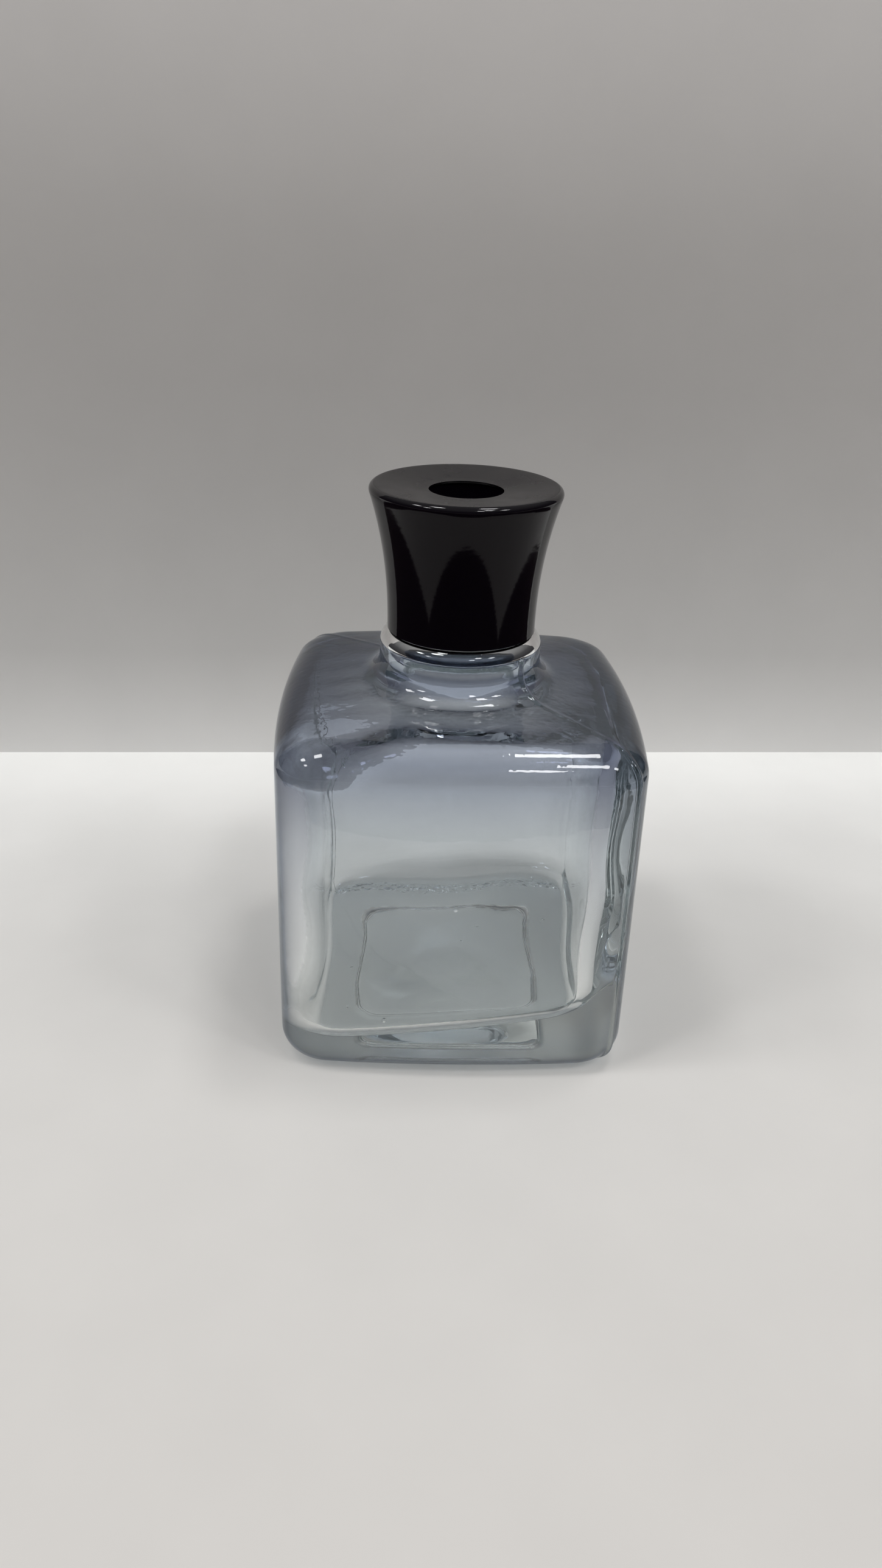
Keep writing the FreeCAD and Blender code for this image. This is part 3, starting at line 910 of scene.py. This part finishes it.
def build_stage():
    far = FLOOR_HALF
    # The floor's tones are painted light, brighter towards the backdrop.
    paper = paper_material("paper_floor", "Y", SHEET_FRONT, BACKDROP_Y, FLOOR_PAINTED_LIGHT_TONES)[0].owner
    rectangle("floor", -far, far, -far, far, FLOOR_Z, paper)

    side = Vector((math.cos(BACKDROP_TURN), math.sin(BACKDROP_TURN), 0)) * BACKDROP_HALF_WIDTH
    back = Vector((-math.sin(BACKDROP_TURN), math.cos(BACKDROP_TURN), 0))
    lines = []
    for i in range(BACKDROP_STEPS + 1):
        z = FLOOR_Z + BACKDROP_HEIGHT * i / BACKDROP_STEPS
        above = max(0.0, (z - BACKDROP_LEAN_Z) / (BACKDROP_HEIGHT - BACKDROP_LEAN_Z))
        middle = Vector((0, BACKDROP_Y, z)) + back * BACKDROP_LEAN * above ** 2
        lines.append([middle - side, middle + side])
    strip("backdrop", lines, backdrop_material())

    board = flag_material()
    reach = FLAG_REACH
    flags = (
        rectangle("flag_left", -reach, SHEET_LEFT, -reach, BACKDROP_Y, FLAG_Z, board),
        rectangle("flag_right", SHEET_RIGHT, reach, -reach, BACKDROP_Y, FLAG_Z, board),
        rectangle("flag_front", SHEET_LEFT, SHEET_RIGHT, -reach, SHEET_FRONT, FLAG_Z, board),
    )
    for flag in flags:
        flag.visible_camera = False
        flag.visible_transmission = False
        flag.visible_diffuse = False
        flag.visible_shadow = False


def area_light(name, width, depth, radiance, place):
    light = bpy.data.lights.new(name, "AREA")
    light.shape = "RECTANGLE"
    light.size = width
    light.size_y = depth
    light.energy = radiance * math.pi * width * depth
    lamp = add_object(name, light)
    lamp.location = place
    return lamp


def build_lights():
    for number, (across, away) in enumerate(PANEL_LIGHTS):
        place = Vector((across, away, 1.0)) * CEILING_HEIGHT
        area_light(f"ceiling_{number}", PANEL_LIGHT_WIDTH, PANEL_LIGHT_DEPTH, PANEL_LIGHT_RADIANCE, place)
    for number, place in enumerate(SOFT_LIGHT_PLACES):
        soft = area_light(f"soft_{number}", SOFT_LIGHT_SIZE, SOFT_LIGHT_SIZE, SOFT_LIGHT_RADIANCE, place)
        soft.rotation_euler = place.to_track_quat("Z", "Y").to_euler()
        soft.visible_glossy = False
        soft.visible_transmission = False


def build_world():
    """A grey room with a paler ceiling, which looks pale straight on and through the glass."""
    world = bpy.data.worlds.new("room")
    bpy.context.scene.world = world
    paint = Shading(world)
    tone = paint.ramp(paint.along("Z", "Generated"), ROOM_TONES)
    path = paint.node("LightPath").outputs
    seen = paint.maths("MAXIMUM", path["Is Camera Ray"], path["Is Transmission Ray"])
    room = paint.node("Mix", {"Factor": seen, "A": tone, "B": ROOM_PALE}, data_type="RGBA")
    paint.fill(paint.nodes["Background"], {"Color": room.outputs["Result"]})


def build_camera():
    camera = bpy.data.cameras.new("camera")
    camera.sensor_width = SENSOR
    camera.lens = FOCAL_PIXELS / PICTURE_HEIGHT * SENSOR
    camera.clip_start = CAMERA_CLIP
    ahead = Vector((
        math.sin(CAMERA_YAW) * math.cos(CAMERA_PITCH),
        math.cos(CAMERA_YAW) * math.cos(CAMERA_PITCH),
        -math.sin(CAMERA_PITCH),
    ))
    level = Vector((math.cos(CAMERA_YAW), -math.sin(CAMERA_YAW), 0))
    upright = level.cross(ahead)
    right = math.cos(CAMERA_ROLL) * level + math.sin(CAMERA_ROLL) * upright
    up = math.cos(CAMERA_ROLL) * upright - math.sin(CAMERA_ROLL) * level
    turn = Matrix((right, up, -ahead)).transposed().to_4x4()
    holder = add_object("camera", camera)
    holder.matrix_world = Matrix.Translation(CAMERA_PLACE) @ turn
    bpy.context.scene.camera = holder


build_bottle()
build_collar()
finish_hidden_pieces()
build_stage()
build_lights()
build_world()
build_camera()
bpy.context.scene.view_settings.view_transform = "Standard"
bpy.context.scene.cycles.max_bounces = GLASS_BOUNCES
bpy.context.scene.cycles.transmission_bounces = GLASS_BOUNCES
bpy.context.scene.cycles.glossy_bounces = GLASS_BOUNCES
